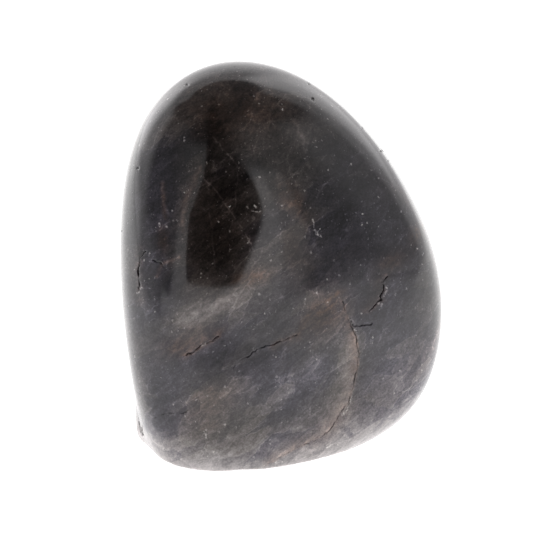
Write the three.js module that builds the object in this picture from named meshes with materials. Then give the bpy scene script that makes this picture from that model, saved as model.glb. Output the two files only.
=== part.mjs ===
// A smoky quartz freeform: one grown piece of dark crystal, ground and polished all round
// and sawn flat underneath, so that it stands with its broad front face leaning back.
// Millimetres, +Z up, -Y the front. The origin is the middle of the stone's box, on the base.

import * as THREE from 'three';
import { mergeVertices } from 'three/addons/utils/BufferGeometryUtils.js';

// Driving dimensions. All flats are set out from one grinding centre inside the stone.
const FACE_LEAN = 20; // degrees that the broad front face leans back from upright
const EDGE_SOFTNESS = 4.0; // how far the polish rounds one flat into the next
const BASE_DROP = 39.6; // from the grinding centre down to the sawn base

// Each ground flat is named by its place. clock runs round the leaning face, 0 to the right
// and 90 to the top, tip turns the flat towards the front, and reach is its distance.
const FLATS = {
  rightSide: { clock: 0, tip: 0, reach: 40.7 },
  rightShoulder: { clock: 27, tip: 0, reach: 35.9 },
  upperRight: { clock: 52, tip: 0, reach: 40.5 },
  crown: { clock: 85, tip: 0, reach: 49.6 },
  upperLeft: { clock: 125, tip: 0, reach: 51.6 },
  leftShoulder: { clock: 152, tip: 0, reach: 48.2 },
  leftUpper: { clock: 172, tip: 0, reach: 41.5 },
  leftSide: { clock: 188, tip: 0, reach: 39.2 },
  lowerLeft: { clock: 207, tip: 0, reach: 52.0 },
  underRight: { clock: 287, tip: 0, reach: 48.1 },
  lowerRight: { clock: 312, tip: 0, reach: 50.4 },
  rightHeel: { clock: 337, tip: 0, reach: 46.5 },
  frontWindow: { clock: 0, tip: 90, reach: 29.6 },
  frontRight: { clock: -22, tip: 64, reach: 25.8 },
  frontUpperRight: { clock: 42, tip: 60, reach: 32.5 },
  frontRightLow: { clock: 315, tip: 62, reach: 31.5 },
  frontLeft: { clock: 180, tip: 55, reach: 38.8 },
  frontLow: { clock: 256, tip: 76, reach: 30.6 },
  frontTop: { clock: 90, tip: 50, reach: 46.0 },
  frontLeftLow: { clock: 225, tip: 42, reach: 47.8 },
  back: { clock: 90, tip: -70, reach: 28.0 },
  backRight: { clock: 5, tip: -45, reach: 38.0 },
  backLeft: { clock: 175, tip: -45, reach: 37.0 },
  backLow: { clock: 270, tip: -30, reach: 44.0 },
  backTop: { clock: 90, tip: -40, reach: 44.0 },
};

// Where the polish never reached: a rough knob at the lower left corner of the base, the
// shallow hollow above it, and small chips out of the skin. height is outwards, spread the radius.
const LUMPS = {
  heelKnob: { at: [-32.5, -8, -38.5], height: 2.4, spread: 6.0 },
  heelHollow: { at: [-35, -5, -27], height: -0.4, spread: 4.5 },
  baseChip: { at: [-9, -29.5, -38.5], height: -0.7, spread: 3.2 },
  backChip: { at: [14, 24, -30], height: -0.9, spread: 4.0 },
};

const FACE_CELLS = 28; // mesh cells along each side of the six patches that wrap the stone
const PATCH_HALF_ANGLE = Math.PI / 4; // each patch spans a quarter turn, in equal steps
const SEARCH_LIMIT = 90; // a length that is outside the stone in every direction
const SEARCH_STEPS = 44;
const BASE_EDGE_SEARCH = [0.17, 1.4]; // radians from straight down that bracket the base edge
const ON_EDGE = 1e-6; // radians within which a vertex counts as on the bottom patch's edge
const LEVEL = Math.PI / 2; // straight out, as an angle from straight down

// A flat's outward direction, from the axes of the leaning front face.
const lean = THREE.MathUtils.degToRad(FACE_LEAN);
const faceRight = new THREE.Vector3(1, 0, 0);
const faceUp = new THREE.Vector3(0, Math.sin(lean), Math.cos(lean));
const faceOut = new THREE.Vector3(0, -Math.cos(lean), Math.sin(lean));

function flatDirection({ clock, tip }) {
  const round = THREE.MathUtils.degToRad(clock);
  const forward = THREE.MathUtils.degToRad(tip);
  return new THREE.Vector3()
    .addScaledVector(faceRight, Math.cos(forward) * Math.cos(round))
    .addScaledVector(faceUp, Math.cos(forward) * Math.sin(round))
    .addScaledVector(faceOut, Math.sin(forward));
}

const flats = Object.values(FLATS).map((flat) => ({ normal: flatDirection(flat), reach: flat.reach }));
const lumps = Object.values(LUMPS).map((lump) => ({ ...lump, at: new THREE.Vector3(...lump.at) }));

// How far a point is outside the polished skin, in millimetres, negative inside. The flats
// are joined by a soft maximum, and the lumps raise or lower the skin round their places.
function outsideSkin(point) {
  const sum = flats.reduce(
    (total, flat) => total + Math.exp((flat.normal.dot(point) - flat.reach) / EDGE_SOFTNESS),
    0,
  );
  const raised = lumps.reduce(
    (total, lump) => total + lump.height * Math.exp(-point.distanceToSquared(lump.at) / lump.spread ** 2),
    0,
  );
  return EDGE_SOFTNESS * Math.log(sum) - raised;
}

// The value between low and high where a test turns from true to false.
function turningPoint(low, high, test) {
  for (let step = 0; step < SEARCH_STEPS; step += 1) {
    const middle = (low + high) / 2;
    if (test(middle)) {
      low = middle;
    } else {
      high = middle;
    }
  }
  return low;
}

const probe = new THREE.Vector3();

function skinRadius(direction) {
  const inside = (radius) => outsideSkin(probe.copy(direction).multiplyScalar(radius)) < 0;
  return turningPoint(0, SEARCH_LIMIT, inside);
}

// A direction from its heading round Z and its angle from straight down.
function fromDown(heading, angle) {
  const side = Math.sin(angle);
  return new THREE.Vector3(side * Math.cos(heading), side * Math.sin(heading), -Math.cos(angle));
}

// The angle from straight down at which the skin meets the sawn base.
function baseEdgeAngle(heading) {
  const below = (angle) => skinRadius(fromDown(heading, angle)) * Math.cos(angle) > BASE_DROP;
  return turningPoint(...BASE_EDGE_SEARCH, below);
}

// The angle from straight down at which the patches' bottom square ends. The patches are
// spaced by equal angles, so that square reaches 45 degrees at the middle of its sides.
function squareEdgeAngle(heading) {
  return Math.atan(1 / Math.max(Math.abs(Math.cos(heading)), Math.abs(Math.sin(heading))));
}

// Six square patches wrap the stone. The bottom one is drawn in or out to end on the base
// edge, so that a row of vertices runs along the edge and the base is truly flat.
function stoneGeometry() {
  const geometry = mergeSeams(new THREE.BoxGeometry(2, 2, 2, FACE_CELLS, FACE_CELLS, FACE_CELLS));
  const position = geometry.getAttribute('position');
  const point = new THREE.Vector3();
  for (let index = 0; index < position.count; index += 1) {
    point.fromBufferAttribute(position, index);
    for (const axis of ['x', 'y', 'z']) {
      point[axis] = Math.tan(point[axis] * PATCH_HALF_ANGLE);
    }
    point.normalize();
    const heading = Math.atan2(point.y, point.x);
    const angle = Math.acos(THREE.MathUtils.clamp(-point.z, -1, 1));
    if (angle < LEVEL) {
      const square = squareEdgeAngle(heading);
      const edge = baseEdgeAngle(heading);
      if (angle <= square + ON_EDGE) {
        point.copy(fromDown(heading, (angle / square) * edge));
        point.multiplyScalar(BASE_DROP / -point.z);
      } else {
        const rise = (angle - square) / (LEVEL - square);
        point.copy(fromDown(heading, THREE.MathUtils.lerp(edge, LEVEL, rise)));
        point.multiplyScalar(skinRadius(point));
      }
    } else {
      point.multiplyScalar(skinRadius(point));
    }
    position.setXYZ(index, point.x, point.y, point.z);
  }
  return standOnBase(geometry);
}

// Only positions are kept, so that vertices along the patches' seams become one.
function mergeSeams(geometry) {
  geometry.deleteAttribute('normal');
  geometry.deleteAttribute('uv');
  return mergeVertices(geometry);
}

function standOnBase(geometry) {
  geometry.computeBoundingBox();
  const { min, max } = geometry.boundingBox;
  geometry.translate(-(min.x + max.x) / 2, -(min.y + max.y) / 2, -min.z);
  geometry.computeVertexNormals();
  return geometry;
}

const smokyQuartz = new THREE.MeshStandardMaterial({
  name: 'polished smoky quartz',
  color: 0x2e2826,
  roughness: 0.12,
  metalness: 0,
});

const stone = new THREE.Mesh(stoneGeometry(), smokyQuartz);
stone.name = 'smoky_quartz';

const group = new THREE.Group();
group.add(stone);

export default group;
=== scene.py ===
import math
import random

import bmesh
import bpy
import numpy as np
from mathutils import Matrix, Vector, noise


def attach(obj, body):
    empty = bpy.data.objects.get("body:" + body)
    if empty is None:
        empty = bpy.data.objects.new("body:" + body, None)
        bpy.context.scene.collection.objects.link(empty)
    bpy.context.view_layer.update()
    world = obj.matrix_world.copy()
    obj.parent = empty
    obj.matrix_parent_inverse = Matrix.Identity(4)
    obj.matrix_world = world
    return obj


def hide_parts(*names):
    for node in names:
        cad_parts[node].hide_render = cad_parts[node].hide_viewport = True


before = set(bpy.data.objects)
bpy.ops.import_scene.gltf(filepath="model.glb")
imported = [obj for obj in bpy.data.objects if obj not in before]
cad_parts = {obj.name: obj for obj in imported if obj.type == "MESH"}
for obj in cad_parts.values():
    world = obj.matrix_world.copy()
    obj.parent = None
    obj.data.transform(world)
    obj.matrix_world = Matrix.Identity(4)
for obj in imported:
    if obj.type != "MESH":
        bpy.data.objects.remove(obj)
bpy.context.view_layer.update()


# The camera. A long lens, square to the stone's broad face and a little above it, as the photograph
# was taken. It comes first because the stone's marks are set out in the photograph's pixels.
MM = 0.001
PHOTO_PX = 533
PIXEL_MM = 0.2339
LENS_MM = 200
SENSOR_MM = 36
CAMERA_LIFT = math.radians(20)
AIM_MM = (-3.6, 1.2, 39.7)

sight = Vector((0, -math.cos(CAMERA_LIFT), math.sin(CAMERA_LIFT)))
photo_right = Vector((1, 0, 0))
photo_up = Vector((0, math.sin(CAMERA_LIFT), math.cos(CAMERA_LIFT)))
camera_distance = LENS_MM / SENSOR_MM * PHOTO_PX * PIXEL_MM * MM
camera = bpy.data.objects.new("photo_camera", bpy.data.cameras.new("photo_camera"))
camera.data.lens = LENS_MM
camera.data.sensor_width = SENSOR_MM
camera.location = Vector(AIM_MM) * MM + sight * camera_distance
camera.rotation_euler = (math.radians(90) - CAMERA_LIFT, 0, 0)
bpy.context.scene.collection.objects.link(camera)
bpy.context.scene.camera = camera


# The stone: one grown crystal of smoky quartz, ground on a wheel, polished all round and sawn flat
# underneath. Its skin is the solid's own, smoothed, with the worn arris, cracks and pits cut into it.
MERGE_MM = 0.002
ARRIS_MM = 1.0
ARRIS_SEGMENTS = 3
BASE_LEVEL_MM = 0.02
SHARP_EDGE = math.radians(25)
POLISH_PASSES = 8
POLISH_FACTOR = 0.5
ALL_AXES = {"use_axis_x": True, "use_axis_y": True, "use_axis_z": True}

skin = bmesh.new()
skin.from_mesh(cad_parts["smoky_quartz"].data)
bmesh.ops.remove_doubles(skin, verts=skin.verts, dist=MERGE_MM * MM)


def is_base_edge(edge):
    level = max(vert.co.z for vert in edge.verts) < BASE_LEVEL_MM * MM
    return level and edge.calc_face_angle() > SHARP_EDGE


bmesh.ops.bevel(
    skin,
    geom=[edge for edge in skin.edges if is_base_edge(edge)],
    offset=ARRIS_MM * MM,
    segments=ARRIS_SEGMENTS,
    profile=0.5,
    affect="EDGES",
    material=-1,
)
bmesh.ops.triangulate(skin, faces=skin.faces)
bmesh.ops.subdivide_edges(skin, edges=skin.edges, cuts=1, use_grid_fill=True)
bmesh.ops.triangulate(skin, faces=skin.faces)
above_base = [vert for vert in skin.verts if vert.co.z > BASE_LEVEL_MM * MM]
for _ in range(POLISH_PASSES):
    bmesh.ops.smooth_vert(skin, verts=above_base, factor=POLISH_FACTOR, **ALL_AXES)

# Marks are placed in pixels of the photograph, or of a like view with the stone turned by so many
# degrees to show its right side, its back or its left side.
FRONT = 0
RIGHT = 90
BACK = 180
LEFT = 270
VIEWS = (FRONT, RIGHT, BACK, LEFT)

# Open cracks: view, half width in pixels, depth in millimetres, and the line that the crack follows.
CRACKS = {
    "left_edge": (
        FRONT, 0.85, 0.4,
        [(145.6, 251.6), (139.8, 261.5), (138, 271.5), (139.3, 284.7), (139, 291)],
    ),
    "left_fork": (FRONT, 0.9, 0.25, [(153, 260), (160.5, 262), (162, 266)]),
    "stained_edge": (
        FRONT, 0.75, 0.3,
        [(186, 355), (189.6, 353.5), (199.5, 347), (207.8, 342.8), (218.6, 336)],
    ),
    "long_crack": (
        FRONT, 0.7, 0.2,
        [(232.7, 369), (242.6, 358.5), (252.6, 352), (259, 348.6), (274, 344.4), (287.4, 338.6),
         (297, 334.5)],
    ),
    "heel_crack": (
        FRONT, 0.7, 0.2,
        [(152, 420), (158, 416.5), (173, 413.3), (175.5, 411.6), (184.6, 412.4), (188, 410)],
    ),
    "vein_spur": (FRONT, 0.6, 0.25, [(350, 315), (352.8, 326), (362.7, 325), (372.7, 323)]),
    "open_crack": (
        FRONT, 0.7, 0.4,
        [(387.6, 276), (381.8, 282), (384, 290), (380, 296), (382, 300), (376, 304.6), (369, 311)],
    ),
    # Along the vein's edge the dark line is partly the painted shadow of a small ledge.
    "vein_edge": (
        FRONT, 0.65, 0.2,
        [(342.8, 301), (346, 311), (350, 323), (356, 336), (359, 353), (358, 369), (354, 386),
         (348.6, 402.5), (341, 412), (333, 426), (323, 436), (306, 444), (291, 451), (273, 462)],
    ),
    "back_long": (
        BACK, 1.2, 0.35,
        [(205, 210), (222, 226), (240, 236), (252, 252), (270, 262), (281, 280), (300, 291),
         (309, 310), (322, 322)],
    ),
    "back_branch": (BACK, 1.0, 0.25, [(252, 252), (247, 270), (251, 284), (243, 301), (246, 318)]),
    "back_low": (BACK, 1.2, 0.3, [(330, 378), (345, 370), (357, 372), (371, 361), (384, 352)]),
    "right_low": (RIGHT, 0.7, 0.25, [(296, 326), (306, 337), (318, 336), (331, 347), (342, 345)]),
    "left_low": (LEFT, 0.7, 0.25, [(228, 298), (238, 312), (236, 326), (247, 338)]),
    "heel_chip": (FRONT, 1.2, 0.4, [(139, 422), (140.5, 428.5), (142.5, 435)]),
}
# Healed cracks, which show as pale threads under the polish: view, half width in pixels, strength, line.
THREADS = [
    (FRONT, 0.9, 1.3, [(203, 177), (214, 189), (230, 211), (243, 229), (249, 241)]),
    (FRONT, 1.2, 1.4, [(249, 241), (254, 251)]),
    (FRONT, 1.0, 1.8, [(213, 136), (219, 143), (225, 151), (235, 163)]),
    (FRONT, 0.9, 0.7, [(235, 163), (246, 176)]),
    (FRONT, 0.9, 1.0, [(209, 212), (213, 229), (213, 247), (215, 267)]),
    (FRONT, 0.8, 0.9, [(237, 164), (237, 184), (235, 207)]),
    (FRONT, 4.0, 0.75, [(164, 332), (180, 323), (205, 308.5), (230, 297), (255, 289)]),
    (FRONT, 3.5, 0.4, [(255, 289), (275, 284)]),
    (FRONT, 2.2, 1.3, [(162, 182), (163.5, 196), (165, 206), (168, 214)]),
    (FRONT, 1.6, 1.0, [(157, 277), (162, 265), (170, 260), (179, 257)]),
    (FRONT, 3.0, 0.9, [(200, 168), (193, 184), (187, 197), (184, 210), (182.5, 225)]),
    (FRONT, 1.6, 1.0, [(269.5, 121), (290, 119), (297, 124)]),
    (FRONT, 2.8, 0.8, [(297, 124), (304, 138), (307, 153), (310, 168)]),
    (FRONT, 0.9, 1.0, [(332, 174), (329, 181), (320, 191), (311, 210)]),
    (FRONT, 0.8, 0.5, [(338, 198), (331, 206), (333, 219), (331, 231)]),
    (FRONT, 2.4, 0.6, [(262, 414), (270, 405), (284, 395), (293, 390)]),
    (FRONT, 2.2, 0.5, [(293, 386), (315, 366), (324, 355), (338, 337)]),
    (FRONT, 1.0, 0.6, [(273, 282), (280, 292), (286, 304)]),
    (FRONT, 1.0, 0.5, [(308, 334), (314, 345), (323, 339)]),
    (FRONT, 1.0, 0.5, [(282, 365), (286, 356), (295, 347)]),
    (FRONT, 0.9, 0.5, [(165, 366), (172, 384), (186, 402), (200, 418)]),
    (BACK, 1.2, 0.7, [(170, 300), (200, 290), (226, 268)]),
    (BACK, 1.0, 0.7, [(300, 180), (320, 215), (330, 250)]),
    (BACK, 2.4, 0.6, [(190, 360), (222, 338), (250, 330), (280, 306)]),
    (RIGHT, 1.1, 0.8, [(252, 196), (264, 230), (268, 262), (285, 292), (296, 326)]),
    (RIGHT, 2.4, 0.6, [(236, 394), (262, 374), (290, 364), (312, 346)]),
    (LEFT, 1.1, 0.8, [(216, 214), (236, 246), (228, 272), (228, 298)]),
    (LEFT, 2.2, 0.6, [(214, 402), (240, 382), (262, 377), (288, 352)]),
]
# White flakes, where the polish has broken away, with painted glints on them: view, half width in pixels,
# line.
FLAKES_AND_GLINTS = [
    (FRONT, 0.9, [(312.5, 219), (314, 228)]), (FRONT, 1.6, [(314.5, 230), (317, 234), (322, 237)]),
    (FRONT, 0.8, [(318, 232), (320, 228.5)]), (FRONT, 0.9, [(254, 205), (256, 209)]),
    (FRONT, 0.9, [(252, 211), (261, 211)]), (FRONT, 1.4, [(159, 223), (159.5, 227)]),
    (FRONT, 1.0, [(165.5, 225), (167, 227)]), (FRONT, 1.4, [(137, 293), (141, 287)]),
    (FRONT, 1.3, [(387, 286), (385, 294)]), (FRONT, 1.1, [(379, 310), (382, 304)]),
    (FRONT, 1.6, [(342, 415), (348, 407)]), (FRONT, 1.0, [(350, 404), (352.5, 396)]),
    (FRONT, 1.2, [(202, 346), (206, 343)]), (FRONT, 1.1, [(350, 320), (352.5, 324)]),
    (FRONT, 1.1, [(355, 329), (357, 332)]), (FRONT, 1.2, [(326, 448), (332, 445)]),
    (FRONT, 1.2, [(204, 432), (206, 437)]), (FRONT, 1.0, [(181, 401), (183, 405)]),
    (BACK, 1.5, [(241, 238), (247, 241)]), (BACK, 1.2, [(300, 293), (303, 298)]),
    (BACK, 1.2, [(356, 371), (352, 374)]),
]
# Pits: view, pixel, radius in pixels.
PITS = [
    (FRONT, (235, 67), 2.2), (FRONT, (187, 85), 2.0), (FRONT, (138, 168), 2.0), (FRONT, (122, 231), 2.0),
    (FRONT, (309, 84), 2.0), (FRONT, (312, 99), 2.4), (FRONT, (362, 128), 2.0), (FRONT, (366, 137), 1.8),
    (FRONT, (381, 151), 2.6), (FRONT, (388, 161), 2.0), (FRONT, (140, 429), 4.0), (FRONT, (313, 431), 2.0),
    (BACK, (196, 160), 2.6), (BACK, (330, 250), 2.2), (BACK, (240, 400), 3.0), (BACK, (352, 190), 2.2),
]
WOBBLE_PX = (1.2, 0.8, 0.5)
line_dice = random.Random(7)


def ragged(points):
    """The same line with each stretch broken in two, its middle moved a little, a few times over."""
    for wobble in WOBBLE_PX:
        longer = [points[0]]
        for start, end in zip(points, points[1:]):
            middle = [(a + b) / 2 + line_dice.uniform(-wobble, wobble) for a, b in zip(start, end)]
            longer += [middle, end]
        points = longer
    return np.array(points, float)


ragged_cracks = [(view, width, depth, ragged(line)) for view, width, depth, line in CRACKS.values()]
ragged_threads = [(view, width, strength, ragged(line)) for view, width, strength, line in THREADS]
ragged_flakes_and_glints = [(view, width, ragged(line)) for view, width, line in FLAKES_AND_GLINTS]


def skin_places():
    skin.normal_update()
    places = np.array([vert.co for vert in skin.verts])
    normals = np.array([vert.normal for vert in skin.verts])
    return places, normals


def photo_pixels(places, normals, view):
    """Where each place shows in the photograph with the stone turned, and whether it faces the camera."""
    cosine = math.cos(math.radians(view))
    sine = math.sin(math.radians(view))
    turned = np.array([[cosine, sine, 0], [-sine, cosine, 0], [0, 0, 1]])
    away = places @ turned.T - np.array(camera.location)
    depth = -(away @ np.array(sight))
    scale = camera_distance / (depth * PIXEL_MM * MM)
    across = PHOTO_PX / 2 + (away @ np.array(photo_right)) * scale
    down = PHOTO_PX / 2 - (away @ np.array(photo_up)) * scale
    facing = ((normals @ turned.T) * -away).sum(1) > 0
    return np.stack([across, down], 1), facing


FAR_PX = 1e3


def line_distance(pixels, facing, line):
    """Distance in pixels from each place to a line, far off where the skin faces away, and its side."""
    nearest = np.full(len(pixels), FAR_PX)
    side = np.zeros(len(pixels))
    for start, end in zip(line, line[1:]):
        along = end - start
        offset = pixels - start
        share = np.clip(offset @ along / (along @ along), 0, 1)
        distance = np.linalg.norm(offset - share[:, None] * along, axis=1)
        closer = distance < nearest
        nearest[closer] = distance[closer]
        side[closer] = np.sign(along[0] * offset[closer, 1] - along[1] * offset[closer, 0])
    return np.where(facing, nearest, FAR_PX), side


# The skin is cut finer in rounds along the marks, round the pits and at the base, so that a crack has
# walls. Each round: reach in pixels, reach above the base in millimetres, and the marks that need it.
FINE_ROUNDS = [
    (7, 4.0, ragged_cracks + ragged_threads + ragged_flakes_and_glints),
    (4.5, 3.4, ragged_cracks + ragged_threads + ragged_flakes_and_glints),
    (2.6, 0, ragged_cracks + ragged_flakes_and_glints),
]
for reach, rim_reach, fine_marks in FINE_ROUNDS:
    places, normals = skin_places()
    near = (places[:, 2] > BASE_LEVEL_MM * MM) & (places[:, 2] < rim_reach * MM)
    seen = {view: photo_pixels(places, normals, view) for view in VIEWS}
    for view, *_, line in fine_marks:
        near |= line_distance(*seen[view], line)[0] < reach
    for view, spot, radius in PITS:
        pixels, facing = seen[view]
        near |= facing & (np.linalg.norm(pixels - spot, axis=1) < reach + radius)
    skin.verts.index_update()
    coarse = [edge for edge in skin.edges if near[edge.verts[0].index] and near[edge.verts[1].index]]
    bmesh.ops.subdivide_edges(
        skin, edges=coarse, cuts=1, smooth=1.0, smooth_falloff="LINEAR", use_single_edge=True,
    )
    bmesh.ops.triangulate(skin, faces=[face for face in skin.faces if len(face.verts) > 3])

OCTAVE_FALL = 1.0
OCTAVE_STEP = 2.0


def noise_at(places, size_mm, octaves=1):
    """Smooth noise between about -1 and 1 at each place, with bumps of the given size."""
    spots = [Vector(place) / (size_mm * MM) for place in places]
    return np.array([noise.fractal(spot, OCTAVE_FALL, OCTAVE_STEP, octaves) for spot in spots])


# A crack gapes and closes along its length, and its lips are pale here and there, crushed and with a
# painted highlight. A mark's core is its strength at the line itself, above one where it has a flat middle.
GAPE_MM = 2.0
GAPE_MEAN = 0.75
GAPE_CHANGE = 0.9
GAPE_LIMITS = (0.15, 1.15)
LIP_PATCHINESS = 2.5
LIP_NOISE_SHIFT_M = 1
LIP_PX = 1.7
LIP_STRENGTH = 0.9
CRACK_CORE = 1.6
THREAD_CORE = 1.3
FLAKE_AND_GLINT_CORE = 1.4
PIT_CORE = 0.7
PIT_DEPTH = 0.35

places, normals = skin_places()
seen = {view: photo_pixels(places, normals, view) for view in VIEWS}
dirt_and_shade, thread_and_lip_highlight, flake_and_glint, sunk = np.zeros((4, len(places)))
gape = np.clip(GAPE_MEAN + GAPE_CHANGE * noise_at(places, GAPE_MM, octaves=3), *GAPE_LIMITS)
crushed_and_lit = np.clip(LIP_PATCHINESS * noise_at(places + LIP_NOISE_SHIFT_M, GAPE_MM, octaves=2), 0, 1)
# Cracks and pits are darkened: partly dirt, partly painted shade in the hollow.
for view, width, depth, line in ragged_cracks:
    distance, _ = line_distance(*seen[view], line)
    wall = np.clip(1 - distance / (width * gape), 0, 1)
    sunk = np.maximum(sunk, wall * depth * gape * MM)
    dirt_and_shade = np.maximum(dirt_and_shade, np.clip(CRACK_CORE * wall * gape, 0, 1))
    # Pale lips beside each crack: partly crushed chips, partly a painted highlight where the lip catches
    # the light.
    lip = np.clip(1 - np.abs(distance - LIP_PX) / LIP_PX, 0, 1)
    thread_and_lip_highlight = np.maximum(thread_and_lip_highlight, LIP_STRENGTH * lip * crushed_and_lit)
for view, spot, radius in PITS:
    pixels, facing = seen[view]
    distance = np.where(facing, np.linalg.norm(pixels - spot, axis=1), FAR_PX)
    hollow = np.clip(1 - (distance / (radius * gape)) ** 2, 0, 1)
    sunk = np.maximum(sunk, hollow * PIT_DEPTH * radius * PIXEL_MM * MM)
    dirt_and_shade = np.maximum(dirt_and_shade, PIT_CORE * hollow)
for view, width, strength, line in ragged_threads:
    distance, _ = line_distance(*seen[view], line)
    thread_and_lip_highlight = np.maximum(thread_and_lip_highlight, strength * gape * np.clip(THREAD_CORE * (1 - distance / width), 0, 1))
for view, width, line in ragged_flakes_and_glints:
    distance, _ = line_distance(*seen[view], line)
    flake_and_glint = np.maximum(flake_and_glint, np.clip(FLAKE_AND_GLINT_CORE * (1 - distance / (width * gape)), 0, 1))

# The wheel leaves slow waves in the polish, and the arris round the base and the heel knob stay rough.
WAVE_MM = 11.0
WAVE_HEIGHT_MM = 0.03
RIM_CORE = 1.25
RIM_TOP_MM = 2.0
RIM_EDGE_MM = 4.0
RIM_RAGGED_MM = 1.1
RIM_GRAIN_MM = 1.1
RIM_HEIGHT_MM = 0.07
KNOB_MM = (-33.5, -6.0, 3.0)
KNOB_CORE = 1.6
KNOB_REACH_MM = 8.0
KNOB_RAGGED_MM = 2.0

height_mm = places[:, 2] / MM
knob_distance = np.linalg.norm(places / MM - np.array(KNOB_MM), axis=1)
rim_edge = noise_at(places, RIM_EDGE_MM, octaves=3)
rim_wear = RIM_CORE - (height_mm + RIM_RAGGED_MM * rim_edge) / RIM_TOP_MM
knob_wear = KNOB_CORE * (1 - (knob_distance + KNOB_RAGGED_MM * rim_edge) / KNOB_REACH_MM)
worn = np.clip(np.maximum(rim_wear, knob_wear), 0, 1)
shift = noise_at(places, WAVE_MM) * WAVE_HEIGHT_MM * MM
shift += noise_at(places, RIM_GRAIN_MM, octaves=3) * worn * RIM_HEIGHT_MM * MM - sunk
shift[height_mm < BASE_LEVEL_MM] = 0
for vert, normal, move in zip(skin.verts, normals, shift):
    vert.co += Vector(normal) * float(move)
    vert.co.z = max(vert.co.z, 0)

# Brown iron stain, mostly beside the cracks. A band: view, line, reach in pixels on each side of it,
# strength.
crack_line = {name: line for name, (*_, line) in CRACKS.items()}
STAIN_BANDS = [
    (FRONT, crack_line["vein_edge"][:6], (1.5, 13), 0.6),
    (FRONT, crack_line["vein_edge"][5:10], (1.5, 13), 0.35),
    (FRONT, crack_line["vein_edge"][9:], (1.5, 10), 0.35),
    (FRONT, crack_line["stained_edge"], (16, 4), 0.7),
    (FRONT, crack_line["long_crack"][4:], (4, 8), 0.6),
    (FRONT, [(297, 334.5), (301.4, 324.5), (313, 309.6), (330.4, 296.3), (339.5, 291.4)], (4, 8), 0.9),
    (FRONT, crack_line["open_crack"], (4, 12), 0.5),
    (FRONT, [(162, 264), (179.6, 257.4)], (3, 3), 0.6),
    (FRONT, [(162, 264), (157, 276)], (3, 3), 0.6),
    (FRONT, [(162.5, 184), (164, 210), (166, 219)], (4, 3), 0.7),
    (FRONT, [(200, 168), (193, 184), (187, 197), (184, 210), (182.5, 232)], (5, 5), 0.6),
    (FRONT, [(139, 250), (137, 270), (139, 300)], (7, 7), 0.5),
    (FRONT, [(196, 396), (212, 390)], (5, 5), 0.6),
    (BACK, crack_line["back_long"], (9, 5), 0.7),
    (BACK, crack_line["back_low"], (6, 9), 0.7),
    (RIGHT, crack_line["right_low"], (9, 5), 0.8),
    (LEFT, crack_line["left_low"], (5, 9), 0.8),
]
# A patch: view, centre, half length and half width in pixels, turn in degrees, rising to the right, and
# strength.
STAIN_PATCHES = [
    (FRONT, (292, 200), 26, 11, -55, 1.0), (FRONT, (252, 277), 22, 9, 10, 1.0),
    (FRONT, (214, 112), 30, 14, -35, 0.35), (FRONT, (325, 312), 26, 18, 50, 1.0),
    (FRONT, (186, 342), 30, 11, 25, 0.75), (FRONT, (210, 405), 34, 16, 35, 0.45),
    (FRONT, (330, 425), 26, 9, 45, 0.4), (FRONT, (163, 240), 14, 6, 90, 0.9),
    (FRONT, (210, 424), 16, 8, 20, 0.4), (FRONT, (297, 258), 34, 12, -75, 0.5),
    (FRONT, (418, 232), 16, 7, 75, 1.0), (FRONT, (392, 262), 16, 9, 30, 0.9),
    (FRONT, (217, 226), 66, 38, 90, 0.45), (FRONT, (235, 112), 60, 34, 0, 0.75),
    (BACK, (230, 240), 40, 14, -30, 0.5), (BACK, (350, 365), 34, 12, 20, 0.5),
    (BACK, (210, 380), 30, 14, 35, 0.4),
    (RIGHT, (268, 236), 34, 12, -70, 0.6), (RIGHT, (262, 378), 34, 14, 30, 0.5),
    (LEFT, (230, 240), 34, 12, -60, 0.6), (LEFT, (246, 384), 34, 14, 30, 0.5),
]
# Slate-grey parts of the crystal, and browner ones where the strength is below nothing.
SLATE_PATCHES = [
    (FRONT, (380, 235), 110, 60, 80, 0.8), (FRONT, (395, 350), 70, 45, 70, 0.5),
    (FRONT, (150, 290), 58, 22, 90, 0.8), (FRONT, (165, 400), 60, 24, 75, 0.5),
    (FRONT, (158, 190), 60, 22, 80, 0.8), (FRONT, (222, 342), 34, 18, 35, 0.8),
    (FRONT, (262, 372), 34, 24, 50, 0.8), (FRONT, (318, 374), 22, 12, 45, 0.7),
    (FRONT, (290, 404), 34, 13, 40, 0.6), (FRONT, (240, 120), 70, 40, 0, -0.6),
    (FRONT, (217, 226), 62, 34, 90, -0.6), (FRONT, (280, 180), 50, 26, 80, -0.4),
    (FRONT, (345, 370), 60, 14, 82, -0.6), (FRONT, (230, 430), 50, 20, 20, -0.3),
    (FRONT, (190, 320), 40, 16, 30, -0.4),
    (BACK, (300, 260), 90, 60, 60, 0.4), (BACK, (220, 380), 60, 30, 30, -0.4),
    (RIGHT, (330, 270), 80, 36, 80, 0.5), (RIGHT, (250, 330), 60, 30, 40, -0.4),
    (LEFT, (290, 300), 80, 30, 80, 0.4), (LEFT, (220, 350), 50, 24, 40, -0.4),
]
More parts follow.
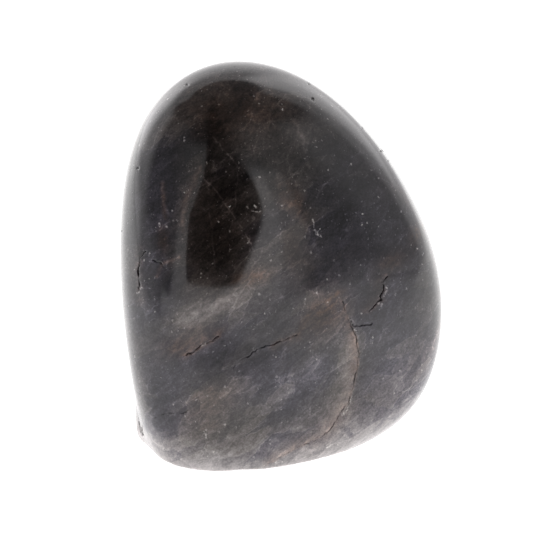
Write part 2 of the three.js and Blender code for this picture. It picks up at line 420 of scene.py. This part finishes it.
# Milky veils inside the crystal, as the share of light that they give back at these heights. There is
# more in these patches, or less where the strength is below nothing, and one unit of strength makes the
# share about three times as much.
HAZE_HEIGHTS_MM = (0, 3, 7, 14, 38, 50, 80)
HAZE_SHARES = (0.62, 0.48, 0.21, 0.06, 0.045, 0.027, 0.023)
HAZE_PATCHES = [
    # The first patch makes a tall oval in the middle of the face clearer and darker, just where the polish
    # mirrors the tent's dark opening: in part a painted reflection of it.
    (FRONT, (217, 226), 62, 34, 90, -1.0), (FRONT, (222, 140), 40, 18, 80, -0.4),
    (FRONT, (158, 205), 34, 14, 90, 0.4), (FRONT, (350, 215), 46, 28, 70, -0.3),
    (FRONT, (155, 290), 30, 14, 90, -0.4), (FRONT, (172, 348), 22, 9, 20, 0.35),
    (FRONT, (160, 395), 34, 24, 80, -0.2), (FRONT, (274, 234), 28, 15, 60, 0.5),
    (FRONT, (274, 441), 26, 10, 25, 0.35), (FRONT, (310, 155), 55, 34, 20, -0.5),
    (FRONT, (212, 304), 40, 9, 28, 0.6), (FRONT, (275, 276), 22, 9, 0, 0.5),
    (FRONT, (203, 343), 30, 8, 32, 0.6), (FRONT, (348, 374), 38, 9, 86, 0.95),
    (FRONT, (331, 425), 26, 12, 50, 0.75), (FRONT, (280, 395), 34, 8, 40, 0.5),
    (FRONT, (318, 365), 36, 10, 45, 0.35), (FRONT, (396, 382), 48, 24, 60, 0.8),
    (FRONT, (425, 386), 46, 13, 62, 1.0), (FRONT, (299, 258), 20, 10, -70, -0.7),
    (FRONT, (388, 299), 24, 9, 70, 0.5), (FRONT, (242, 400), 26, 10, 35, 0.4),
    (FRONT, (188, 196), 26, 6, 73, 0.45), (FRONT, (380, 434), 40, 13, 30, 0.9),
    (FRONT, (150, 442), 26, 12, -50, 0.8), (FRONT, (240, 300), 50, 20, 15, 0.25),
    (FRONT, (228, 437), 30, 13, 15, -0.6),
    (BACK, (300, 300), 60, 30, 70, -0.8), (BACK, (230, 300), 50, 18, 30, 0.6),
    (BACK, (320, 220), 44, 16, 50, 0.5),
    (RIGHT, (282, 372), 44, 12, 28, 0.6), (RIGHT, (300, 236), 46, 16, 65, 0.5),
    (RIGHT, (250, 290), 40, 22, 70, -0.5),
    (LEFT, (250, 382), 44, 12, 28, 0.6), (LEFT, (238, 262), 46, 16, 60, 0.5),
    (LEFT, (290, 250), 50, 20, 80, -0.5),
]
# Veils that end sharply along one side of a line, set out as the bands of stain are.
HAZE_BANDS = [
    (FRONT, [(170, 347), (196, 326), (222, 311), (246, 305.5), (272, 303)], (17, 1.5), 0.5),
    (FRONT, crack_line["vein_edge"][:9], (1.0, 19), 0.35),
    (FRONT, [(262, 186), (283, 196), (298, 212), (312, 232), (318, 250)], (1.5, 16), 0.4),
]
BAND_CORE = 1.2


def patch_share(view, centre, half_length, half_width, turn, strength):
    """The strength of an oval patch at each place, fading out from its centre."""
    pixels, facing = seen[view]
    angle = math.radians(turn)
    offset = pixels - centre
    along = offset[:, 0] * math.cos(angle) - offset[:, 1] * math.sin(angle)
    across = offset[:, 0] * math.sin(angle) + offset[:, 1] * math.cos(angle)
    spread = (along / half_length) ** 2 + (across / half_width) ** 2
    return np.where(facing, strength * np.exp(-spread), 0)


def band_share(view, line, reaches, strength):
    """The strength of a band at each place, fading out to its own reach on each side of the line."""
    distance, side = line_distance(*seen[view], np.array(line, float))
    reach = np.where(side > 0, reaches[1], reaches[0])
    return strength * np.clip(BAND_CORE - distance / reach, 0, 1)


stain, slate = np.zeros((2, len(places)))
for band in STAIN_BANDS:
    stain = np.maximum(stain, band_share(*band))
for patch in STAIN_PATCHES:
    stain = np.maximum(stain, patch_share(*patch))
for patch in SLATE_PATCHES:
    slate += patch_share(*patch)
haze = np.interp(height_mm, HAZE_HEIGHTS_MM, np.log(HAZE_SHARES))
for patch in HAZE_PATCHES:
    haze += patch_share(*patch)
for band in HAZE_BANDS:
    haze += band_share(*band)

for face in skin.faces:
    face.smooth = True
stone_mesh = bpy.data.meshes.new("smoky_quartz_skin")
skin.to_mesh(stone_mesh)
skin.free()
marks = {
    "dirt_and_shade": dirt_and_shade, "thread_and_lip_highlight": thread_and_lip_highlight, "flake_and_glint": flake_and_glint, "worn": worn,
    "stain": stain, "slate": slate, "haze": haze,
}
for name, amounts in marks.items():
    layer = stone_mesh.attributes.new(name, "FLOAT", "POINT")
    layer.data.foreach_set("value", amounts.astype(np.float32))


def linear(hex_colour):
    """An sRGB colour such as #8a6a55 as linear red, green, blue and alpha."""
    channels = [int(hex_colour[i:i + 2], 16) / 255 for i in (1, 3, 5)]
    return [c / 12.92 if c <= 0.04045 else ((c + 0.055) / 1.055) ** 2.4 for c in channels] + [1]


def add_node(tree, kind, inputs, out=0, **settings):
    """Adds a shader node, fills each input from a value or another node's output, and gives one output."""
    node = tree.nodes.new("ShaderNode" + kind)
    for name, value in settings.items():
        setattr(node, name, value)
    for socket, value in inputs.items():
        if isinstance(value, bpy.types.NodeSocket):
            tree.links.new(value, node.inputs[socket])
        else:
            node.inputs[socket].default_value = value
    return node.outputs[out] if node.outputs else node


# Polished smoky quartz: brown crystal that lets light through but swallows it within a few centimetres.
# Milky veils and iron stain hang in it close under the skin, and the skin is polished to a clear gloss.
TAUPE_VEIL = "#a09693"
SLATE_VEIL = "#8c8699"
IRON_STAIN = "#a07b66"
DENSE_VEIL = "#a29d9d"
FLAKE_AND_GLINT_WHITE = "#a3a09d"
VEIL_PALENESS = 0.3
CLEARNESS = 0.4
SMOKE_TINT = "#795f4e"
SMOKE_PER_METRE = 90.0
QUARTZ_IOR = 1.544

quartz = bpy.data.materials.new("polished_smoky_quartz")
quartz.use_nodes = True
tree = quartz.node_tree
tree.nodes.clear()
where = add_node(tree, "TexCoord", {}, "Object")
mark = {name: add_node(tree, "Attribute", {}, "Fac", attribute_name=name) for name in marks}

# The veils lie in sheets that rise to the right at about 38 degrees, and stretch along them.
SHEET_RISE = math.radians(38)
SHEET_STRETCH = (2.4, 1.5, 1)
in_sheets = add_node(
    tree, "Mapping", {"Vector": where, "Rotation": (0, -SHEET_RISE, 0), "Scale": SHEET_STRETCH},
    vector_type="TEXTURE",
)
# Each layer of veils: coordinates, size in millimetres, detail, roughness, how far it is bent, strength.
VEIL_LAYERS = {
    "banks": (where, 15, 3, 0.5, 0.4, 1.2),
    "clouds": (in_sheets, 4.0, 6, 0.62, 0.5, 2.2),
    "fibres": (in_sheets, 0.9, 3, 0.6, 0.4, 2.3),
    "grain": (where, 0.42, 2, 0.6, 0.0, 2.1),
}
MID_NOISE = 0.5
log_haze = mark["haze"]
veil_noise = {}
for name, (place, size_mm, detail, rough, bending, strength) in VEIL_LAYERS.items():
    veil_noise[name] = add_node(
        tree, "TexNoise",
        {"Vector": place, "Scale": 1 / (size_mm * MM), "Detail": detail, "Roughness": rough,
         "Distortion": bending},
    )
    centred = add_node(tree, "Math", {0: veil_noise[name], 1: MID_NOISE}, operation="SUBTRACT")
    log_haze = add_node(tree, "Math", {0: centred, 1: strength, 2: log_haze}, operation="MULTIPLY_ADD")

# Healed cracks part the crystal into shards: each shard is hazed differently, with pale threads between
# them where the clouds are thick. Shards of two sizes: across, and half of a thread, in millimetres.
SHARDS_MM = ((6.5, 0.16), (3.2, 0.12))
SHARD_STRENGTH = 0.4
SEAM_STRENGTH = 0.8
SEAM_CLOUDS = (0.45, 0.62)
SLATE_LIMITS = (-0.3, 0.5)
SLATE_CLEARING = 0.3
FOLD_MM = 3
BEND_MM = 2.4
bend = add_node(
    tree, "TexNoise",
    {"Vector": in_sheets, "Scale": 1 / (FOLD_MM * MM), "Detail": 4, "Roughness": 0.6}, "Color",
)
bend = add_node(tree, "VectorMath", {0: bend, 1: [MID_NOISE] * 3}, operation="SUBTRACT")
bent = add_node(
    tree, "VectorMath", {0: bend, 1: [BEND_MM * MM] * 3, 2: in_sheets}, operation="MULTIPLY_ADD",
)
threads_and_lip_highlights = mark["thread_and_lip_highlight"]
slaty = mark["slate"]
seams_shown = add_node(
    tree, "MapRange",
    {"Value": veil_noise["clouds"], "From Min": SEAM_CLOUDS[0], "From Max": SEAM_CLOUDS[1]},
)
for shard_mm, thread_mm in SHARDS_MM:
    per_shard = 1 / (shard_mm * MM)
    shard = add_node(tree, "TexVoronoi", {"Vector": bent, "Scale": per_shard}, "Color")
    shard = add_node(tree, "SeparateColor", {"Color": shard}, "Red")
    shard = add_node(tree, "Math", {0: shard, 1: MID_NOISE}, operation="SUBTRACT")
    log_haze = add_node(tree, "Math", {0: shard, 1: SHARD_STRENGTH, 2: log_haze}, operation="MULTIPLY_ADD")
    slaty = add_node(tree, "Math", {0: shard, 1: -SHARD_STRENGTH, 2: slaty}, operation="MULTIPLY_ADD")
    seam = add_node(
        tree, "TexVoronoi", {"Vector": bent, "Scale": per_shard}, "Distance", feature="DISTANCE_TO_EDGE",
    )
    seam = add_node(tree, "MapRange", {"Value": seam, "From Min": thread_mm / shard_mm, "From Max": 0})
    seam = add_node(tree, "Math", {0: seam, 1: seams_shown}, operation="MULTIPLY")
    threads_and_lip_highlights = add_node(tree, "Math", {0: seam, 1: SEAM_STRENGTH, 2: threads_and_lip_highlights}, operation="MULTIPLY_ADD")
log_haze = add_node(tree, "Math", {0: threads_and_lip_highlights, 1: log_haze}, operation="ADD")
slaty = add_node(
    tree, "MapRange", {"Value": slaty, "From Min": SLATE_LIMITS[0], "From Max": SLATE_LIMITS[1]},
)
log_haze = add_node(tree, "Math", {0: slaty, 1: -SLATE_CLEARING, 2: log_haze}, operation="MULTIPLY_ADD")

# Stain turns the veils brown and makes them denser, and worn skin is full of fine breaks.
STAIN_FIBRES = (0.25, 0.7)
STAIN_SHARES = (0.3, 1.1)
STAIN_STRENGTH = 0.6
FULL_VEIL = 0.6
DENSE_VEILS = (0.05, 0.3)
stained = add_node(
    tree, "MapRange",
    {"Value": veil_noise["fibres"], "From Min": STAIN_FIBRES[0], "From Max": STAIN_FIBRES[1],
     "To Min": STAIN_SHARES[0], "To Max": STAIN_SHARES[1]},
)
stained = add_node(tree, "Math", {0: stained, 1: mark["stain"]}, operation="MULTIPLY", use_clamp=True)
log_haze = add_node(tree, "Math", {0: stained, 1: STAIN_STRENGTH, 2: log_haze}, operation="MULTIPLY_ADD")
log_haze = add_node(tree, "Math", {0: mark["worn"], 1: log_haze}, operation="ADD")
veil = add_node(tree, "Math", {0: log_haze}, operation="EXPONENT")
crowding = add_node(tree, "Math", {0: veil, 1: 1 / FULL_VEIL, 2: 1.0}, operation="MULTIPLY_ADD")
veil = add_node(tree, "Math", {0: veil, 1: crowding}, operation="DIVIDE")
dense = add_node(tree, "MapRange", {"Value": veil, "From Min": DENSE_VEILS[0], "From Max": DENSE_VEILS[1]})

# White specks are tiny open flakes just under the polish, a fraction of a millimetre across, with
# crumbled outlines. Specks of two sizes: spacing in millimetres, share of cells without, radius, strength.
SPECKS = ((1.3, 0.45, 0.3, 1.0), (0.7, 0.35, 0.2, 0.42))
SPECK_EDGE = 0.07
SPECK_CLOUDS = (0.4, 0.6)
FEWEST_SPECKS = 0.25
FLAKE_AND_GLINT_GRAIN = (0.4, 0.56)
FLAKE_AND_GLINT_SHINE = 0.28
CRUMB_MM = 0.4
CRUMB_REACH = (2, 1, 3)
# The flakes' white is partly painted glints.
white = add_node(
    tree, "MapRange",
    {"Value": veil_noise["grain"], "From Min": FLAKE_AND_GLINT_GRAIN[0], "From Max": FLAKE_AND_GLINT_GRAIN[1]},
)
white = add_node(tree, "Math", {0: white, 1: mark["flake_and_glint"]}, operation="MULTIPLY")
speckled = add_node(
    tree, "MapRange",
    {"Value": veil_noise["clouds"], "From Min": SPECK_CLOUDS[0], "From Max": SPECK_CLOUDS[1],
     "To Min": FEWEST_SPECKS},
)
crumble = add_node(tree, "TexNoise", {"Vector": where, "Scale": 1 / (CRUMB_MM * MM), "Detail": 2}, "Color")
crumble = add_node(tree, "VectorMath", {0: crumble, 1: [MID_NOISE] * 3}, operation="SUBTRACT")
crumbled = add_node(
    tree, "VectorMath", {0: crumble, 1: [reach * CRUMB_MM * MM for reach in CRUMB_REACH], 2: where},
    operation="MULTIPLY_ADD",
)
for spacing_mm, empty_share, speck_mm, strength in SPECKS:
    cell = add_node(tree, "TexVoronoi", {"Vector": crumbled, "Scale": 1 / (spacing_mm * MM)}, "Color")
    picked = add_node(tree, "SeparateColor", {"Color": cell}, "Red")
    reach = add_node(
        tree, "MapRange",
        {"Value": picked, "From Min": empty_share, "From Max": 1, "To Max": speck_mm / spacing_mm},
    )
    inside = add_node(tree, "Math", {0: reach, 1: cell.node.outputs["Distance"]}, operation="SUBTRACT")
    speck = add_node(tree, "MapRange", {"Value": inside, "From Max": SPECK_EDGE, "To Max": strength})
    speck = add_node(tree, "Math", {0: speck, 1: speckled}, operation="MULTIPLY")
    white = add_node(tree, "Math", {0: white, 1: speck}, operation="MAXIMUM")
veil = add_node(tree, "Math", {0: white, 1: FLAKE_AND_GLINT_SHINE, 2: veil}, operation="MULTIPLY_ADD")

# Dirt and painted shade in the cracks and pits hide the veils. The veils' colours are scaled to give back
# the veils' share of the light, allowing for their own paleness and for the part of the crystal that is
# clear.
DIRT_AND_SHADE_DARKNESS = 0.75
DIRT_AND_SHADE_LIMITS = (0.25, 0.8)
dirt_and_shade_amount = add_node(
    tree, "MapRange", {"Value": mark["dirt_and_shade"], "From Min": DIRT_AND_SHADE_LIMITS[0], "From Max": DIRT_AND_SHADE_LIMITS[1]},
)
clean = add_node(tree, "Math", {0: dirt_and_shade_amount, 1: -DIRT_AND_SHADE_DARKNESS, 2: 1.0}, operation="MULTIPLY_ADD")
shade = add_node(tree, "Math", {0: veil, 1: clean}, operation="MULTIPLY")
shade = add_node(tree, "Math", {0: shade, 1: VEIL_PALENESS * (1 - CLEARNESS)}, operation="DIVIDE")
colour = linear(TAUPE_VEIL)
for share, over in ((slaty, SLATE_VEIL), (dense, DENSE_VEIL), (stained, IRON_STAIN), (white, FLAKE_AND_GLINT_WHITE)):
    colour = add_node(tree, "Mix", {"Factor": share, "A": colour, "B": linear(over)}, 2, data_type="RGBA")
colour = add_node(tree, "VectorMath", {0: colour, "Scale": shade}, operation="SCALE")

# The polish is a clear gloss over the hazy crystal, dulled where the skin is worn and where dirt and
# painted shade fill a crack or pit.
POLISH_ROUGHNESS = 0.05
CRYSTAL_ROUGHNESS = 0.3
WORN_DULLNESS = 0.5
dirt_and_shade_dull = add_node(tree, "Math", {0: dirt_and_shade_amount, 1: DIRT_AND_SHADE_DARKNESS}, operation="MULTIPLY")
worn_dull = add_node(tree, "Math", {0: mark["worn"], 1: WORN_DULLNESS}, operation="MULTIPLY")
dull = add_node(tree, "Math", {0: worn_dull, 1: dirt_and_shade_dull}, operation="MAXIMUM")
polish = add_node(tree, "Math", {0: 1.0, 1: dull}, operation="SUBTRACT", use_clamp=True)
surface = add_node(
    tree, "BsdfPrincipled",
    {"Base Color": colour, "Roughness": CRYSTAL_ROUGHNESS, "IOR": QUARTZ_IOR,
     "Transmission Weight": CLEARNESS, "Specular IOR Level": 0.0, "Specular Tint": (0, 0, 0, 1),
     "Coat Weight": polish, "Coat Roughness": POLISH_ROUGHNESS, "Coat IOR": QUARTZ_IOR},
)
smoke = add_node(tree, "VolumeAbsorption", {"Color": linear(SMOKE_TINT), "Density": SMOKE_PER_METRE})
add_node(tree, "OutputMaterial", {"Surface": surface, "Volume": smoke})

stone = bpy.data.objects.new("polished_stone", stone_mesh)
stone_mesh.materials.append(quartz)
bpy.context.scene.collection.objects.link(stone)
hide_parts("smoky_quartz")
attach(stone, "root")


# The floor: a wide sheet of white acrylic on a light table, a hair below the stone's base. It glows more
# beside the stone than under it, and less in front and far off, so the stone casts almost no shadow.
FLOOR_RADIUS_MM = 4000
FLOOR_SEGMENTS = 96
FLOOR_GAP_MM = 0.1
FLOOR_WHITE = "#c9c8c6"
FLOOR_ROUGHNESS = 0.9
MIDDLE_GLOW = 0.85
GLOW_WHITE = "#ffffff"
# How the glow changes away from the stone: direction, from and to in millimetres, change.
GLOW_CHANGES = [
    ("beside", 30, 160, 0.45), ("beside", 450, 2400, -0.5), ("in_front", 100, 300, -0.55),
    ("left", 66, 160, -0.2), ("left", 180, 420, 0.4),
]

floor_bmesh = bmesh.new()
bmesh.ops.create_circle(floor_bmesh, cap_ends=True, segments=FLOOR_SEGMENTS, radius=FLOOR_RADIUS_MM * MM)
bmesh.ops.translate(floor_bmesh, verts=floor_bmesh.verts, vec=(0, 0, -FLOOR_GAP_MM * MM))
floor_mesh = bpy.data.meshes.new("pale_floor")
floor_bmesh.to_mesh(floor_mesh)
floor_bmesh.free()
acrylic = bpy.data.materials.new("white_acrylic_sheet")
acrylic.use_nodes = True
tree = acrylic.node_tree
tree.nodes.clear()
on_floor = add_node(tree, "SeparateXYZ", {0: add_node(tree, "TexCoord", {}, "Object")}).node.outputs
outward = {
    "beside": add_node(tree, "Math", {0: on_floor["X"]}, operation="ABSOLUTE"),
    "in_front": add_node(tree, "Math", {0: on_floor["Y"], 1: -1.0}, operation="MULTIPLY"),
    "left": add_node(tree, "Math", {0: on_floor["X"], 1: -1.0}, operation="MULTIPLY"),
}
glow = MIDDLE_GLOW
for way, start, end, gain in GLOW_CHANGES:
    change = add_node(
        tree, "MapRange",
        {"Value": outward[way], "From Min": start * MM, "From Max": end * MM, "To Max": gain},
        interpolation_type="SMOOTHSTEP",
    )
    glow = add_node(tree, "Math", {0: glow, 1: change}, operation="ADD")
sheet = add_node(
    tree, "BsdfPrincipled",
    {"Base Color": linear(FLOOR_WHITE), "Roughness": FLOOR_ROUGHNESS,
     "Emission Color": linear(GLOW_WHITE), "Emission Strength": glow},
)
add_node(tree, "OutputMaterial", {"Surface": sheet})
floor_mesh.materials.append(acrylic)
floor = bpy.data.objects.new("pale_floor", floor_mesh)
bpy.context.scene.collection.objects.link(floor)


# The light: a white tent all round, with a lamp behind each of its back corners, a dim ceiling, and grey
# walls and a dark opening at the front, where the camera stands, all of which the polished face mirrors.
TENT_WHITE = "#fffdfe"
BACK_LEVEL = 1.3
# Each zone: bearing from the camera's side in degrees, right positive, and its softness, rise above the
# floor and its softness, level. Later zones lie over earlier ones.
ALL_ROUND = (-999, 999)
DOWN = -99
UP = 99
TENT_ZONES = {
    "back_top": (ALL_ROUND, 1, (48, UP), 8, 0.85),
    "left_lamp": ((-154, -116), 14, (DOWN, 42), 9, 3.0),
    "right_lamp": ((120, 158), 10, (13, 66), 5, 2.4),
    "ceiling": (ALL_ROUND, 1, (69, UP), 2.5, 0.12),
    "left_wall": ((-80, 0), 12, (DOWN, UP), 5, 0.27),
    "left_wall_edge": ((-28, 0), 12, (14, 40), 6, 0.42),
    "right_side": ((0, 98), 8, (DOWN, 52), 5, 0.75),
    "right_wall": ((0, 50), 8, (DOWN, 54), 5, 0.38),
    "front_ceiling": ((-100, 96), 8, (52, UP), 5, 0.12),
    "front_top": ((-26, 22), 8, (40, UP), 5, 0.06),
    "left_foot": ((-120, -46), 14, (DOWN, 7), 3, 0.85),
    "left_floor_edge": ((-75, -25), 8, (DOWN, 0.5), 3, 1.1),
    "left_lamp_foot": ((-125, -84), 9, (DOWN, 4), 4, 2.0),
    "right_foot": ((42, 100), 8, (DOWN, 0.5), 4, 1.4),
    "right_reveal": ((0, 31.5), 2.0, (DOWN, 33), 3, 0.85),
    "right_reveal_edge": ((0, 23), 2, (DOWN, 30), 4, 1.3),
}
world = bpy.data.worlds.new("light_tent")
bpy.context.scene.world = world
world.use_nodes = True
tree = world.node_tree
tree.nodes.clear()
direction = add_node(tree, "SeparateXYZ", {0: add_node(tree, "TexCoord", {}, "Generated")}).node.outputs
towards_front = add_node(tree, "Math", {0: direction["Y"], 1: -1.0}, operation="MULTIPLY")
bearing = add_node(tree, "Math", {0: direction["X"], 1: towards_front}, operation="ARCTAN2")
bearing = add_node(tree, "Math", {0: bearing}, operation="DEGREES")
rise = add_node(tree, "Math", {0: direction["Z"]}, operation="ARCSINE")
rise = add_node(tree, "Math", {0: rise}, operation="DEGREES")


def painted(level, brightness, edges):
    """The level with a zone painted over it. Each edge: a value, where it is fully out and fully in."""
    share = 1.0
    for value, outside, inside in edges:
        edge = add_node(
            tree, "MapRange", {"Value": value, "From Min": outside, "From Max": inside},
            interpolation_type="SMOOTHSTEP",
        )
        share = add_node(tree, "Math", {0: share, 1: edge}, operation="MULTIPLY")
    return add_node(tree, "Mix", {"Factor": share, "A": level, "B": brightness})


level = BACK_LEVEL
for (left, right), side_soft, (bottom, top), edge_soft, brightness in TENT_ZONES.values():
    level = painted(level, brightness, [
        (bearing, left - side_soft, left + side_soft), (bearing, right + side_soft, right - side_soft),
        (rise, bottom - edge_soft, bottom + edge_soft), (rise, top + edge_soft, top - edge_soft),
    ])

HALF_TURN = 180


def past_edge(along, value, points):
    """How far a value is past an edge that follows the points, in degrees."""
    place = add_node(tree, "MapRange", {"Value": along, "From Min": -HALF_TURN, "From Max": HALF_TURN})
    edge = add_node(tree, "FloatCurve", {"Value": place})
    curve = edge.node.mapping.curves[0]
    shares = [(x / HALF_TURN / 2 + 0.5, y / HALF_TURN / 2 + 0.5) for x, y in points]
    curve.points[0].location = shares[0]
    curve.points[1].location = shares[-1]
    for share in shares[1:-1]:
        curve.points.new(*share)
    edge.node.mapping.update()
    edge = add_node(tree, "MapRange", {"Value": edge, "To Min": -HALF_TURN, "To Max": HALF_TURN})
    return add_node(tree, "Math", {0: value, 1: edge}, operation="SUBTRACT")


# The opening's left side shows as a strip that narrows upwards. Its outer edge: rise and bearing. Its
# levels, the lower one brighter: top, its softness, level.
REVEAL_LEFT = ((5, -31.7), (9, -30), (13, -29), (15.5, -26.5), (19.4, -22.5), (23.6, -17.1), (28.4, -13))
REVEAL_SOFT = 3
REVEAL_LEVELS = ((30, 5, 0.5), (13, 7, 1.0))
past_reveal = past_edge(rise, bearing, REVEAL_LEFT)
for top, edge_soft, brightness in REVEAL_LEVELS:
    level = painted(level, brightness, [
        (past_reveal, -REVEAL_SOFT, REVEAL_SOFT), (bearing, REVEAL_SOFT, -REVEAL_SOFT),
        (rise, top + edge_soft, top - edge_soft),
    ])

# The opening is a leaning dark shape. Each edge: rise and bearing, or for its foot, bearing and rise.
# Its right edge blurs upwards: rise and softness, low and high.
OPENING_LEFT = ((6, -19.8), (12, -21), (19, -16.1), (25.6, -10.2), (37, -6.6), (46, -5.5))
OPENING_RIGHT = ((4.6, 6.7), (9.6, 12), (17, 16.9), (25, 17.6), (40, 14.3))
OPENING_FOOT = ((-20, 6.3), (-10.5, 5.5), (7, 4.6))
OPENING_LEVEL = 0.0
OPENING_SOFT = 1.0
FOOT_SOFT = 0.5
OPENING_BLUR = ((26, 1.3), (36, 5.0))
(blur_low, blur_least), (blur_high, blur_most) = OPENING_BLUR
blur = add_node(
    tree, "MapRange",
    {"Value": rise, "From Min": blur_low, "From Max": blur_high, "To Min": blur_least, "To Max": blur_most},
)
past_left = past_edge(rise, bearing, OPENING_LEFT)
past_right = past_edge(rise, bearing, OPENING_RIGHT)
past_right = add_node(tree, "Math", {0: past_right, 1: blur}, operation="DIVIDE")
past_foot = past_edge(bearing, rise, OPENING_FOOT)
level = painted(level, OPENING_LEVEL, [
    (past_left, -OPENING_SOFT, OPENING_SOFT), (past_right, OPENING_SOFT, -OPENING_SOFT),
    (past_foot, -FOOT_SOFT, FOOT_SOFT),
])

# The near edge of the table shines under the opening: its bearings and their softness, then for the edge
# and the dimmer top below it, rise, its softness, level.
TABLE_SIDES = (-42, 23)
TABLE_SOFT = 3
TABLE_LEVELS = ((3.5, 1, 1.45), (1.0, 1.8, 1.2))
for top, edge_soft, brightness in TABLE_LEVELS:
    level = painted(level, brightness, [
        (bearing, TABLE_SIDES[0] - TABLE_SOFT, TABLE_SIDES[0] + TABLE_SOFT),
        (bearing, TABLE_SIDES[1] + TABLE_SOFT, TABLE_SIDES[1] - TABLE_SOFT),
        (rise, top + edge_soft, top - edge_soft),
    ])

# The camera itself sees the tent as plain white.
PLAIN_LEVEL = 1.0
to_camera = add_node(tree, "LightPath", {}, "Is Camera Ray")
level = add_node(tree, "Mix", {"Factor": to_camera, "A": level, "B": PLAIN_LEVEL})
tent = add_node(tree, "Background", {"Color": linear(TENT_WHITE), "Strength": level})
add_node(tree, "OutputWorld", {"Surface": tent})
bpy.context.scene.view_settings.view_transform = "Standard"
